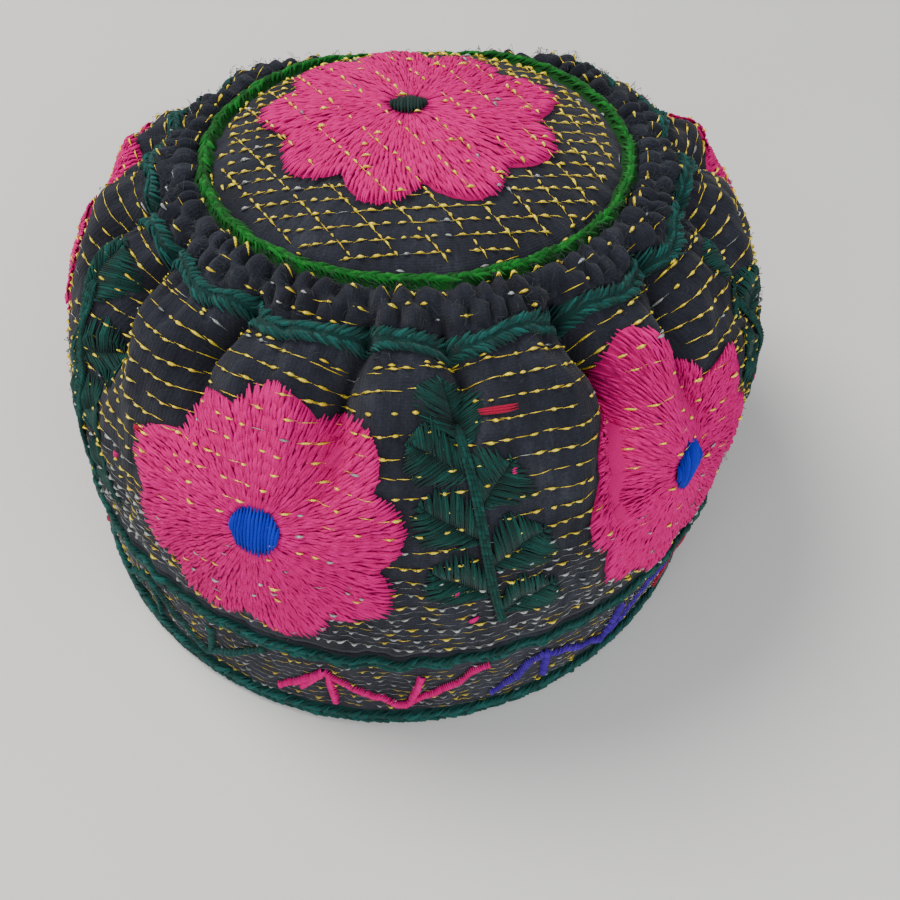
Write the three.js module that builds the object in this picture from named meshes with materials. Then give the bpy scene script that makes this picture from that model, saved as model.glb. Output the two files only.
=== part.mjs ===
// A gathered and embroidered cloth hat that stands on its rim.
//
// Millimetres, with +Z up. A bearing is an angle about the hat's axis, in degrees from +X towards +Y,
// and the front of the hat faces -Y, at bearing 270. The cloth is described by one profile, which runs
// from the rim up the band and the side, over the gathers and across the crown to its middle. A place
// on it is a bearing and an arc, the length along the profile from the rim, and a lift is the distance
// off its outer face.
import * as THREE from "three";

// The profile's main sizes
const RIM_RADIUS = 92;
const BAND_HEIGHT = 35;
const BAND_FLARE = 3;
const SIDE_HEIGHT = 77;
const SIDE_SWELL = 13.5;
const GATHER_RADIUS = 67;
const GATHER_RISE = 4;
const GATHER_PUFF = 3.2;
const CROWN_RADIUS = 52.5;
const CROWN_RISE = 10;

// How the hat is out of round and out of plumb. The stretches are shares by which it is longer from
// front to back than across, the leans are how far the crown's seam has moved, and the dip is the
// slope of the crown down towards the back. Behind a share of the gathers' radius the cloth droops.
const RIM_STRETCH = 0.05;
const CROWN_STRETCH = -0.06;
const LEAN_SIDE = 8;
const LEAN_BACK = 1;
const BACK_DIP = 0.08;
const BACK_DROOP = 12;
const BACK_DROOP_SHARE = 0.6;

// Cloth, braids and wool
const BAND_WALL = 2.6;
const CLOTH_WALL = 2.2;
const SEAM_GAP = 0.4;
const BRAID_GAP = 0.8;
const HEM_BRAID_WIDTH = 5;
const BAND_BRAID_WIDTH = 6;
const YOKE_BRAID_WIDTH = 5.5;
const CROWN_BRAID_WIDTH = 5;
const BRAID_THICKNESS = 1.6;
const CROWN_BRAID_THICKNESS = 2.5;
const BRAID_TOP_SHARE = 0.5;
const HEM_LIFT = 0.6;

// Folds and gathers
const FOLD_DEPTH = 9;
const FOLD_RAMP = 0.12;
const FOLD_AT_SEAM = 0.5;
const PUCKERS = 36;
const PUCKER_HEIGHT = 1.6;
const PUCKER_MARGIN = 1;

// Wool flowers. A margin is the bare cloth between a flower's tips and the braid next to it, for one
// that stands in the middle of its room. The side's flowers stand lower than that by their drop.
const SIDE_FLOWER_BEARINGS = [244.5, 311, 25, 93, 162];
const FLOWER_DROP = 3;
const FLOWER_MARGIN = 6;
const FLOWER_EYE_RADIUS = 6;
const CROWN_FLOWER_MARGIN = 6.5;
const CROWN_FLOWER_BACK = 6;
const CROWN_EYE_RADIUS = 4.4;
const PETALS = 9;
const PETAL_NOTCH = 0.34;
const SIDE_FLOWER_GAP = 1.5;
const CROWN_FLOWER_GAP = 0.6;
const FLOWER_THICKNESS = 1.2;

// How finely the cloth is faceted
const FACETS_PER_PUCKER = 3;
const BAND_SEGMENTS = 60;
const CROWN_SEGMENTS = 54;
const POINTS_PER_PETAL = 3;
const FLOWER_RINGS = 3;
const EYE_POINTS = 12;
const ARC_STEPS = 40;

// The side between the band and the gathers. rise is a share of SIDE_HEIGHT, and also of the way from
// the band's radius to the gathers', and swell is the share of SIDE_SWELL that is added to it.
const SIDE_ROWS = [
  { rise: 0.15, swell: 0.36 },
  { rise: 0.38, swell: 0.82 },
  { rise: 0.57, swell: 1 },
  { rise: 0.74, swell: 0.95 },
  { rise: 0.9, swell: 0.66 },
];

// The gathers between the side and the crown. run is the share of the way in to the crown's seam.
const GATHER_ROWS = [
  { run: 0.3, puff: 0.9 },
  { run: 0.66, puff: 1 },
];

// The crown. run is the share of the way in to its middle, and rise the share of CROWN_RISE.
const CROWN_ROWS = [
  { run: 0.13, rise: 0.36 },
  { run: 0.34, rise: 0.68 },
  { run: 0.66, rise: 0.92 },
  { run: 1, rise: 1 },
];

// The folds that draw the side in below the gathers. bearing is where a fold leaves the seam, spread
// its half width in degrees, depth the share of FOLD_DEPTH, reach the share of the side's length that
// it runs down, and drift how far it has turned by there, in degrees.
const FOLDS = [
  { bearing: 8, spread: 6, depth: 0.7, reach: 0.5, drift: -3 },
  { bearing: 30, spread: 6, depth: 0.55, reach: 0.4, drift: 3 },
  { bearing: 55, spread: 6.5, depth: 0.75, reach: 0.6, drift: 4 },
  { bearing: 78, spread: 6, depth: 0.6, reach: 0.45, drift: -3 },
  { bearing: 100, spread: 6, depth: 0.7, reach: 0.5, drift: 3 },
  { bearing: 122, spread: 6.5, depth: 0.6, reach: 0.55, drift: 4 },
  { bearing: 144, spread: 6, depth: 0.75, reach: 0.6, drift: -4 },
  { bearing: 165, spread: 6, depth: 0.7, reach: 0.5, drift: 2 },
  { bearing: 188, spread: 6, depth: 0.75, reach: 0.6, drift: 4 },
  { bearing: 208, spread: 6, depth: 0.8, reach: 0.65, drift: -2 },
  { bearing: 232, spread: 5.5, depth: 0.65, reach: 0.5, drift: -5 },
  { bearing: 258, spread: 5.5, depth: 0.8, reach: 0.6, drift: -9 },
  { bearing: 273, spread: 5, depth: 0.6, reach: 0.4, drift: 2 },
  { bearing: 298, spread: 6.5, depth: 1.1, reach: 0.8, drift: 5 },
  { bearing: 319, spread: 5.5, depth: 0.8, reach: 0.65, drift: -5 },
  { bearing: 343, spread: 6, depth: 0.8, reach: 0.55, drift: -4 },
];

const COLOURS = {
  cloth: 0x3e404c,
  tealBraid: 0x1e5f55,
  greenBraid: 0x146e28,
  wool: 0xe61e6e,
  blueEye: 0x1e46c8,
  greenEye: 0x1e3a36,
};

const { degToRad, radToDeg, lerp, smoothstep, clamp, euclideanModulo } = THREE.MathUtils;
const AROUND = PUCKERS * FACETS_PER_PUCKER;
const bandTopRadius = RIM_RADIUS + BAND_FLARE;
const gatherHeight = BAND_HEIGHT + SIDE_HEIGHT;
const crownHeight = gatherHeight + GATHER_RISE;

// The profile's stations, each a radius and a height, in order from the rim to the crown's middle.
function profileStations() {
  const station = (radius, height) => new THREE.Vector2(radius, height);
  return [
    station(RIM_RADIUS, 0),
    station(lerp(RIM_RADIUS, bandTopRadius, 0.5), BAND_HEIGHT / 2),
    station(bandTopRadius, BAND_HEIGHT),
    ...SIDE_ROWS.map(({ rise, swell }) => station(
      lerp(bandTopRadius, GATHER_RADIUS, rise) + swell * SIDE_SWELL,
      lerp(BAND_HEIGHT, gatherHeight, rise),
    )),
    station(GATHER_RADIUS, gatherHeight),
    ...GATHER_ROWS.map(({ run, puff }) => station(
      lerp(GATHER_RADIUS, CROWN_RADIUS, run),
      lerp(gatherHeight, crownHeight, run) + puff * GATHER_PUFF,
    )),
    station(CROWN_RADIUS, crownHeight),
    ...CROWN_ROWS.map(({ run, rise }) => station(
      CROWN_RADIUS * (1 - run),
      crownHeight + rise * CROWN_RISE,
    )),
  ];
}

const stations = profileStations();
const profile = new THREE.SplineCurve(stations);
profile.arcLengthDivisions = (stations.length - 1) * ARC_STEPS;
const stationArcs = stations.map((_, i) => profile.getLengths()[i * ARC_STEPS]);
const bandIndex = 2;
const gatherIndex = bandIndex + SIDE_ROWS.length + 1;
const crownIndex = gatherIndex + GATHER_ROWS.length + 1;
const bandArc = stationArcs[bandIndex];
const gatherArc = stationArcs[gatherIndex];
const crownArc = stationArcs[crownIndex];
const middleArc = stationArcs[stations.length - 1];

// How far the folds draw the cloth in at a place.
function foldDepth(bearing, arc) {
  const down = (gatherArc - arc) / (gatherArc - bandArc);
  const above = Math.min(1, Math.max(0, (arc - gatherArc) / (crownArc - gatherArc)));
  const ramp = lerp(FOLD_AT_SEAM, 1, smoothstep(down, 0, FOLD_RAMP)) * (1 - above) ** 2;
  return FOLDS.reduce((sum, fold) => {
    const run = Math.max(0, down / fold.reach);
    const turned = bearing - fold.bearing - fold.drift * run;
    const away = euclideanModulo(turned + 180, 360) - 180;
    const fade = 1 - smoothstep(down, FOLD_RAMP, fold.reach);
    return sum + FOLD_DEPTH * fold.depth * fade * ramp * Math.exp(-((away / fold.spread) ** 2));
  }, 0);
}

// How far the gathers stand up at a place: small puffs between the two braids that hold them.
const puckersFrom = gatherArc + YOKE_BRAID_WIDTH / 2 + PUCKER_MARGIN;
const puckersTo = crownArc - CROWN_BRAID_WIDTH / 2 - PUCKER_MARGIN;

function puckerLift(bearing, arc) {
  const share = (arc - puckersFrom) / (puckersTo - puckersFrom);
  if (share <= 0 || share >= 1) return 0;
  return PUCKER_HEIGHT * Math.cos(degToRad(bearing) * PUCKERS) * Math.sin(share * Math.PI);
}

// Turns a place of a plain round hat into one of this hat, which is oval, leans and dips at the back.
function placed(bearing, radius, height) {
  const share = height / crownHeight;
  const lean = Math.sin(Math.min(1, share) * Math.PI / 2);
  const angle = degToRad(bearing);
  const y = radius * Math.sin(angle) * (1 + lerp(RIM_STRETCH, CROWN_STRETCH, share));
  const droop = BACK_DROOP * smoothstep(y / GATHER_RADIUS, BACK_DROOP_SHARE, 1);
  return new THREE.Vector3(
    radius * Math.cos(angle) + LEAN_SIDE * lean,
    y + LEAN_BACK * lean,
    height - share * (BACK_DIP * y + droop),
  );
}

// The point of the cloth at a bearing and an arc, a lift off its outer face. The rim is cut level.
function onCloth(bearing, arc, lift) {
  const at = clamp(arc / middleArc, 0, 1);
  const point = profile.getPointAt(at);
  const along = profile.getTangentAt(at);
  const depth = lift - foldDepth(bearing, arc) + puckerLift(bearing, arc);
  const height = arc === 0 ? 0 : point.y - along.x * depth;
  return placed(bearing, Math.max(0, point.x + along.y * depth), height);
}

function ringOfCloth(segments, arc, lift) {
  return Array.from({ length: segments }, (_, i) => onCloth((i * 360) / segments, arc, lift));
}

// Triangles between loops of equal length, each joined to the next.
function joinLoops(loops, closed) {
  const count = loops[0].length;
  const triangles = [];
  const rows = closed ? loops.length : loops.length - 1;
  for (let row = 0; row < rows; row += 1) {
    const next = (row + 1) % loops.length;
    for (let i = 0; i < count; i += 1) {
      const j = (i + 1) % count;
      const [a, b] = [row * count + i, row * count + j];
      const [c, d] = [next * count + j, next * count + i];
      triangles.push(a, b, c, a, c, d);
    }
  }
  return triangles;
}

function geometryOf(points, triangles) {
  const geometry = new THREE.BufferGeometry().setFromPoints(points);
  geometry.setIndex(triangles);
  geometry.computeVertexNormals();
  return geometry;
}

// A closed ring: its loops run up the outer face and back down the inner one.
function ringSolid(loops) {
  return geometryOf(loops.flat(), joinLoops(loops, true));
}

// A disc: its loops run out along the under face and back in along the outer one, and each face closes
// on a middle point.
function discSolid(underMiddle, loops, outerMiddle) {
  const count = loops[0].length;
  const points = [...loops.flat(), underMiddle, outerMiddle];
  const under = points.length - 2;
  const outer = points.length - 1;
  const last = (loops.length - 1) * count;
  const triangles = joinLoops(loops, false);
  for (let i = 0; i < count; i += 1) {
    const j = (i + 1) % count;
    triangles.push(under, j, i, outer, last + i, last + j);
  }
  return geometryOf(points, triangles);
}

// A tube of cloth through the given arcs.
function clothRing(segments, arcs, wall) {
  return ringSolid([
    ...arcs.map((arc) => ringOfCloth(segments, arc, 0)),
    ...arcs.toReversed().map((arc) => ringOfCloth(segments, arc, -wall)),
  ]);
}

// A braid that lies along one arc, rounded by a top that is narrower than its foot.
function braid(segments, arc, width, thickness) {
  const foot = width / 2;
  const top = foot * BRAID_TOP_SHARE;
  return ringSolid([
    ringOfCloth(segments, arc - top, BRAID_GAP + thickness),
    ringOfCloth(segments, arc + top, BRAID_GAP + thickness),
    ringOfCloth(segments, arc + foot, BRAID_GAP),
    ringOfCloth(segments, arc - foot, BRAID_GAP),
  ]);
}

// Places a flower's own plan on the side: across to the right as seen from outside, and up.
function spotOnSide(bearing, arc) {
  const radius = profile.getPointAt(arc / middleArc).x;
  return (across, up, lift) => onCloth(bearing + radToDeg(across / radius), arc + up, lift);
}

// Places a flower's own plan on the crown, which it shares with the hat's own x and y.
function spotOnCrown(back) {
  return (across, up, lift) => onCloth(
    radToDeg(Math.atan2(up + back, across)),
    middleArc - Math.hypot(across, up + back),
    lift,
  );
}

// One ring of a flower's plan. share runs from the eye's edge at 0 to the petals' outline at 1.
function petalRing(spot, eyeRadius, tipRadius, share, lift) {
  const count = PETALS * POINTS_PER_PETAL;
  const start = eyeRadius + SEAM_GAP;
  return Array.from({ length: count }, (_, i) => {
    const angle = (i / count) * 2 * Math.PI;
    const notch = PETAL_NOTCH * (1 - Math.abs(Math.cos((angle * PETALS) / 2)));
    const reach = lerp(start, tipRadius * (1 - notch), share);
    return spot(reach * Math.cos(angle), reach * Math.sin(angle), lift);
  });
}

function flower(spot, eyeRadius, tipRadius, gap) {
  const shares = Array.from({ length: FLOWER_RINGS + 1 }, (_, i) => i / FLOWER_RINGS);
  const ring = (share, lift) => petalRing(spot, eyeRadius, tipRadius, share, lift);
  return ringSolid([
    ...shares.toReversed().map((share) => ring(share, gap + FLOWER_THICKNESS)),
    ...shares.map((share) => ring(share, gap)),
  ]);
}

function flowerEye(spot, radius, gap) {
  const ring = (lift) => Array.from({ length: EYE_POINTS }, (_, i) => {
    const angle = (i / EYE_POINTS) * 2 * Math.PI;
    return spot(radius * Math.cos(angle), radius * Math.sin(angle), lift);
  });
  const top = gap + FLOWER_THICKNESS;
  return discSolid(spot(0, 0, gap), [ring(gap), ring(top)], spot(0, 0, top));
}

const hat = new THREE.Group();

function addPiece(name, geometry, color, roughness) {
  const material = new THREE.MeshStandardMaterial({ color, roughness, metalness: 0 });
  const mesh = new THREE.Mesh(geometry, material);
  mesh.name = name;
  hat.add(mesh);
}

function addCloth() {
  const seam = SEAM_GAP / 2;
  const inside = (from, to) => stationArcs.slice(from + 1, to);
  const bandArcs = [0, ...inside(0, bandIndex), bandArc - seam];
  const sideArcs = [bandArc + seam, ...inside(bandIndex, gatherIndex), gatherArc - seam];
  const puckerMiddle = (puckersFrom + puckersTo) / 2;
  const yokeArcs = [gatherArc + seam, puckersFrom, puckerMiddle, puckersTo, crownArc - seam];
  const crownArcs = [crownArc + seam, ...inside(crownIndex, stations.length - 1)];
  const crownLoops = [
    ...crownArcs.toReversed().map((arc) => ringOfCloth(CROWN_SEGMENTS, arc, -CLOTH_WALL)),
    ...crownArcs.map((arc) => ringOfCloth(CROWN_SEGMENTS, arc, 0)),
  ];
  const middle = (lift) => placed(0, 0, crownHeight + CROWN_RISE + lift);
  addPiece("hat_band", clothRing(BAND_SEGMENTS, bandArcs, BAND_WALL), COLOURS.cloth, 0.95);
  addPiece("side_panel", clothRing(AROUND, sideArcs, CLOTH_WALL), COLOURS.cloth, 0.95);
  addPiece("gathered_yoke", clothRing(AROUND, yokeArcs, CLOTH_WALL), COLOURS.cloth, 0.95);
  addPiece("crown", discSolid(middle(-CLOTH_WALL), crownLoops, middle(0)), COLOURS.cloth, 0.95);
}

function addBraids() {
  const hemArc = HEM_LIFT + HEM_BRAID_WIDTH / 2;
  const bandBraidArc = bandArc - SEAM_GAP / 2 - BAND_BRAID_WIDTH / 2;
  const hem = braid(BAND_SEGMENTS, hemArc, HEM_BRAID_WIDTH, BRAID_THICKNESS);
  const band = braid(BAND_SEGMENTS, bandBraidArc, BAND_BRAID_WIDTH, BRAID_THICKNESS);
  const yoke = braid(AROUND, gatherArc, YOKE_BRAID_WIDTH, BRAID_THICKNESS);
  const crown = braid(CROWN_SEGMENTS, crownArc, CROWN_BRAID_WIDTH, CROWN_BRAID_THICKNESS);
  addPiece("hem_braid", hem, COLOURS.tealBraid, 0.9);
  addPiece("band_braid", band, COLOURS.tealBraid, 0.9);
  addPiece("yoke_braid", yoke, COLOURS.tealBraid, 0.9);
  addPiece("crown_braid", crown, COLOURS.greenBraid, 0.85);
}

function addFlower([name, eyeName], spot, eyeRadius, tipRadius, gap, eyeColour) {
  addPiece(name, flower(spot, eyeRadius, tipRadius, gap), COLOURS.wool, 0.9);
  addPiece(eyeName, flowerEye(spot, eyeRadius, gap), eyeColour, 0.9);
}

function addFlowers() {
  const room = gatherArc - YOKE_BRAID_WIDTH / 2 - bandArc;
  const sideTips = room / 2 - FLOWER_MARGIN;
  SIDE_FLOWER_BEARINGS.forEach((bearing, i) => {
    const spot = spotOnSide(bearing, bandArc + room / 2 - FLOWER_DROP);
    const names = [`flower_${i + 1}`, `flower_eye_${i + 1}`];
    addFlower(names, spot, FLOWER_EYE_RADIUS, sideTips, SIDE_FLOWER_GAP, COLOURS.blueEye);
  });
  const crownRoom = CROWN_RADIUS - CROWN_BRAID_WIDTH / 2;
  const crownTips = crownRoom - CROWN_FLOWER_MARGIN - CROWN_FLOWER_BACK;
  const crownNames = ["crown_flower", "crown_flower_eye"];
  const crownSpot = spotOnCrown(CROWN_FLOWER_BACK);
  addFlower(crownNames, crownSpot, CROWN_EYE_RADIUS, crownTips, CROWN_FLOWER_GAP, COLOURS.greenEye);
}

addCloth();
addBraids();
addFlowers();

// The origin is under the middle of the hat's own box, on the surface that it stands on.
const box = new THREE.Box3().setFromObject(hat);
const middle = box.getCenter(new THREE.Vector3());
hat.position.set(-middle.x, -middle.y, -box.min.z);

const root = new THREE.Group();
root.add(hat);

export default root;
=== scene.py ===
# The looks of a gathered and embroidered cloth hat.
#
# Lengths are in millimetres on the cloth and in metres in the scene. A place on the cloth is a
# bearing about the hat's axis, in degrees, and an arc, the length along the hat's profile from its
# rim. A lift is the distance off the cloth's outer face. Stitches are drawn on a flat plan, and a
# spot function puts that plan on the cloth.
import math

import bpy
import numpy as np
from mathutils import Matrix, Vector


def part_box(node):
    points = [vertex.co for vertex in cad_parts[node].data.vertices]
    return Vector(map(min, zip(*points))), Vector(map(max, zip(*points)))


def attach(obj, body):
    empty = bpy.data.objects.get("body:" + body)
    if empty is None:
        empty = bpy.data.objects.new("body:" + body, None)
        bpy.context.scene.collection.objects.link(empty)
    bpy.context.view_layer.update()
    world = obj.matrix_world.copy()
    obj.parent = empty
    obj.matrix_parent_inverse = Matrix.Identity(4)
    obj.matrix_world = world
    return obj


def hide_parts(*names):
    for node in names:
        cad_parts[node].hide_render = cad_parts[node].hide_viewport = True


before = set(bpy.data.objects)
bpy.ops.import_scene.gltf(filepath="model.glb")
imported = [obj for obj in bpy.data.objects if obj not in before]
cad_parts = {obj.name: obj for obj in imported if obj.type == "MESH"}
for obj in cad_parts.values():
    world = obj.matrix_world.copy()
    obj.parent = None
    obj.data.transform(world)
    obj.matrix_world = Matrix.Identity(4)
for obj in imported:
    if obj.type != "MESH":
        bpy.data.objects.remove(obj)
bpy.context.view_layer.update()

MM = 0.001
rng = np.random.default_rng(61)

# The hat's own sizes, as in the solids
RIM_RADIUS, BAND_HEIGHT, BAND_FLARE = 92.0, 35.0, 3.0
SIDE_HEIGHT, SIDE_SWELL = 77.0, 13.5
GATHER_RADIUS, GATHER_RISE, GATHER_PUFF = 67.0, 4.0, 3.2
CROWN_RADIUS, CROWN_RISE = 52.5, 10.0
RIM_STRETCH, CROWN_STRETCH = 0.05, -0.06
LEAN_SIDE, LEAN_BACK, BACK_DIP = 8.0, 1.0, 0.08
BACK_DROOP, BACK_DROOP_SHARE = 12.0, 0.6
BAND_WALL, CLOTH_WALL = 2.6, 2.2
HEM_WIDTH, BAND_BRAID_WIDTH, YOKE_BRAID_WIDTH, CROWN_BRAID_WIDTH = 5.0, 6.0, 5.5, 5.0
HEM_LIFT, SEAM_GAP = 0.6, 0.4
FOLD_DEPTH, FOLD_RAMP, FOLD_AT_SEAM = 9.0, 0.12, 0.5
PUFFS, PUFF_HEIGHT = 64, 2.0
FLOWER_BEARINGS = [244.5, 311, 25, 93, 162]
FLOWER_DROP, FLOWER_MARGIN, EYE_RADIUS = 3.0, 6.0, 6.0
CROWN_FLOWER_MARGIN, CROWN_FLOWER_BACK, CROWN_EYE_RADIUS = 6.5, 6.0, 4.4
PETALS = 9

# Rise and swell of the side, run and puff of the gathers, run and rise of the crown
SIDE_ROWS = [(0.15, 0.36), (0.38, 0.82), (0.57, 1.0), (0.74, 0.95), (0.9, 0.66)]
GATHER_ROWS = [(0.3, 0.9), (0.66, 1.0)]
CROWN_ROWS = [(0.13, 0.36), (0.34, 0.68), (0.66, 0.92), (1.0, 1.0)]

# Bearing, spread, depth, reach and drift of each fold
FOLDS = [
    (8, 6, 0.7, 0.5, -3), (30, 6, 0.55, 0.4, 3), (55, 6.5, 0.75, 0.6, 4),
    (78, 6, 0.6, 0.45, -3), (100, 6, 0.7, 0.5, 3), (122, 6.5, 0.6, 0.55, 4),
    (144, 6, 0.75, 0.6, -4), (165, 6, 0.7, 0.5, 2), (188, 6, 0.75, 0.6, 4),
    (208, 6, 0.8, 0.65, -2), (232, 5.5, 0.65, 0.5, -5), (258, 5.5, 0.8, 0.6, -9),
    (273, 5, 0.6, 0.4, 2), (298, 6.5, 1.1, 0.8, 5), (319, 5.5, 0.8, 0.65, -5),
    (343, 6, 0.8, 0.55, -4),
]


def lerp(a, b, t):
    return a + (b - a) * t


def smoothstep(x, low, high):
    t = np.clip((x - low) / (high - low), 0, 1)
    return t * t * (3 - 2 * t)


# The profile

GATHER_HEIGHT = BAND_HEIGHT + SIDE_HEIGHT
CROWN_HEIGHT = GATHER_HEIGHT + GATHER_RISE
BAND_TOP_RADIUS = RIM_RADIUS + BAND_FLARE
STEPS = 60


def stations():
    points = [(RIM_RADIUS, 0), (lerp(RIM_RADIUS, BAND_TOP_RADIUS, 0.5), BAND_HEIGHT / 2)]
    points.append((BAND_TOP_RADIUS, BAND_HEIGHT))
    for rise, swell in SIDE_ROWS:
        radius = lerp(BAND_TOP_RADIUS, GATHER_RADIUS, rise) + swell * SIDE_SWELL
        points.append((radius, lerp(BAND_HEIGHT, GATHER_HEIGHT, rise)))
    points.append((GATHER_RADIUS, GATHER_HEIGHT))
    for run, puff in GATHER_ROWS:
        height = lerp(GATHER_HEIGHT, CROWN_HEIGHT, run) + puff * GATHER_PUFF
        points.append((lerp(GATHER_RADIUS, CROWN_RADIUS, run), height))
    points.append((CROWN_RADIUS, CROWN_HEIGHT))
    for run, rise in CROWN_ROWS:
        points.append((CROWN_RADIUS * (1 - run), CROWN_HEIGHT + rise * CROWN_RISE))
    return np.array(points, float)


def spline(points):
    """A smooth curve through the points, STEPS steps to a span."""
    last = len(points) - 1
    out = []
    for i in range(last):
        p0, p1 = points[max(i - 1, 0)], points[i]
        p2, p3 = points[i + 1], points[min(i + 2, last)]
        v0, v1 = (p2 - p0) / 2, (p3 - p1) / 2
        for t in np.arange(STEPS) / STEPS:
            cubic = (2 * p1 - 2 * p2 + v0 + v1) * t**3
            square = (3 * p2 - 3 * p1 - 2 * v0 - v1) * t**2
            out.append(cubic + square + v0 * t + p1)
    out.append(points[last])
    return np.array(out)


STATIONS = stations()
CURVE = spline(STATIONS)
ARCS = np.concatenate([[0], np.cumsum(np.linalg.norm(np.diff(CURVE, axis=0), axis=1))])
TANGENTS = np.gradient(CURVE, ARCS, axis=0)
TANGENTS /= np.linalg.norm(TANGENTS, axis=1)[:, None]
BAND_INDEX = 2
GATHER_INDEX = BAND_INDEX + len(SIDE_ROWS) + 1
CROWN_INDEX = GATHER_INDEX + len(GATHER_ROWS) + 1
BAND_ARC = ARCS[BAND_INDEX * STEPS]
GATHER_ARC = ARCS[GATHER_INDEX * STEPS]
CROWN_ARC = ARCS[CROWN_INDEX * STEPS]
MIDDLE_ARC = ARCS[-1]
PUFFS_FROM = GATHER_ARC + YOKE_BRAID_WIDTH / 2
PUFFS_TO = CROWN_ARC - CROWN_BRAID_WIDTH / 2

# Where the hat's axis stands in the frame, in mm, from the low corner of the band's box
BAND_LOW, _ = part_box("hat_band")
AXIS_X = BAND_LOW.x / MM + RIM_RADIUS
AXIS_Y = BAND_LOW.y / MM + RIM_RADIUS * (1 + RIM_STRETCH)
AXIS = np.array([AXIS_X, AXIS_Y, 0])


# The cloth's surface

def waves(count, around, along):
    """A table of random ripples: waves round the hat, waves along its profile, and phase."""
    return [
        (rng.integers(*around), rng.uniform(-along, along), rng.uniform(0, 2 * math.pi))
        for _ in range(count)
    ]


def ripple(table, bearing, arc):
    """The sum of a table's ripples, about as high as one of them."""
    angle = np.radians(bearing)
    total = sum(np.sin(k * angle + q * arc + phase) for k, q, phase in table)
    return total / math.sqrt(len(table))


WRINKLES = waves(9, (14, 60), 0.32)
CRUMPLE = waves(10, (60, 150), 0.9)
WANDER = waves(5, (2, 11), 0.05)
PUFF_PHASE = waves(5, (3, 17), 0.1)
SWAGS = waves(5, (9, 26), 0.0)

# A fold is a wide hollow that wavers on its way down, a sharp crease in it, and a bulge beside it.
HOLLOW_SHARE, FOLD_WAVER, FOLD_WAVERS = 0.75, 0.35, 7
CREASE_DEPTH, CREASE_SHARE = 9.0, 0.3
BULGE_HEIGHT, BULGE_AWAY, BULGE_SPREAD, BULGE_RAMP = 2.6, 1.35, 0.6, 0.2

# How far the puffs stray from even places, and the ribs that run from them down the side
PUFF_STRAY, RIB_HEIGHT, RIB_START, RIB_END = 0.8, 0.6, 3, 18

# Small wrinkles and finer crumples of the cloth, and where they die away
WRINKLE_HEIGHT, CRUMPLE_HEIGHT = 0.34, 0.13
RIM_CALM, MIDDLE_CALM, CROWN_CALM_SHARE = 12, (2, 25), 0.45


def fold_depth(bearing, arc):
    """How far the folds draw the cloth in."""
    down = (GATHER_ARC - arc) / (GATHER_ARC - BAND_ARC)
    above = np.clip((arc - GATHER_ARC) / (CROWN_ARC - GATHER_ARC), 0, 1)
    ramp = lerp(FOLD_AT_SEAM, 1, smoothstep(down, 0, FOLD_RAMP)) * (1 - above) ** 2
    total = np.zeros(np.broadcast(bearing, arc).shape)
    for at, spread, depth, reach, drift in FOLDS:
        run = np.maximum(0, down / reach)
        turned = (bearing - at - drift * run + 180) % 360 - 180
        away = (turned + FOLD_WAVER * spread * np.sin(FOLD_WAVERS * run + at)) / spread
        fade = 1 - smoothstep(down, FOLD_RAMP, reach)
        crease = np.exp(-np.abs(away / CREASE_SHARE) ** 1.5) * fade * (1 - above) ** 2
        bulge = np.exp(-((np.abs(away) - BULGE_AWAY) / BULGE_SPREAD) ** 2) * fade
        bulge = bulge * smoothstep(down, 0, BULGE_RAMP)
        total += depth * (FOLD_DEPTH * HOLLOW_SHARE * np.exp(-(away**2)) * fade * ramp)
        total += depth * (CREASE_DEPTH * crease - BULGE_HEIGHT * bulge)
    return total


def pucker(bearing, arc):
    """Two staggered rows of puffs between the braids, and ribs a little way down the side."""
    share = np.clip((arc - PUFFS_FROM) / (PUFFS_TO - PUFFS_FROM), 0, 1)
    turn = np.radians(bearing) * PUFFS / 2
    phase = turn + PUFF_STRAY * ripple(PUFF_PHASE, bearing, arc)
    phase = phase + math.pi / 2 * smoothstep(share, 0.4, 0.6)
    lobes = np.abs(np.sin(phase)) ** 0.7 * 2 - 1.2
    rows = np.abs(np.sin(2 * math.pi * share)) ** 0.6
    below = GATHER_ARC - arc
    ribs = smoothstep(below, -YOKE_BRAID_WIDTH / 2, RIB_START)
    ribs = ribs * (1 - smoothstep(below, RIB_START, RIB_END))
    return lobes * (PUFF_HEIGHT * rows + RIB_HEIGHT * ribs)


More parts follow.
